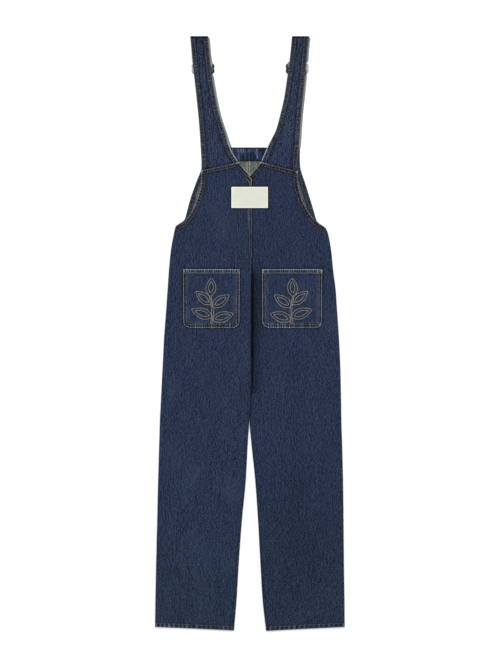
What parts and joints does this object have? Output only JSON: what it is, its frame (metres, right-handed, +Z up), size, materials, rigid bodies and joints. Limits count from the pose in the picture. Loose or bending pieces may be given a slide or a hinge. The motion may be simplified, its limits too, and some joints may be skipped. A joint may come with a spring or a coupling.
{
  "type": "denim overalls",
  "caption": "Denim overalls laid flat with the back up: V back, long straps with metal sliders, patch pockets and straight legs.",
  "frame": {"origin": "middle of the garment's outline, on the surface that it lies on", "axes": "+Z up out of the back of the overalls, +Y from the trouser hems towards the shoulder folds, +X to the right as seen from above"},
  "size_m": [0.4739, 1.486, 0.008],
  "materials": {
    "denim": "indigo twill, washed",
    "denim_inside": "wrong side of the twill, grey",
    "patch": "cream, matt, blank",
    "thread": "tan topstitching thread",
    "brass": "antique, worn bright on the edges"
  },
  "bodies": {
    "root": {"back_panel_left": "denim", "back_panel_right": "denim", "front_panel_left": "denim", "front_panel_right": "denim", "back_strap_left": "denim", "back_strap_right": "denim", "front_strap_left": "denim_inside", "front_strap_right": "denim_inside", "back_pocket_left": "denim", "back_pocket_right": "denim", "back_patch": "patch", "bib_facing": "denim", "front_hem_left": "denim", "front_hem_right": "denim", "slider_left": "brass", "slider_right": "brass"}
  },
  "joints": []
}
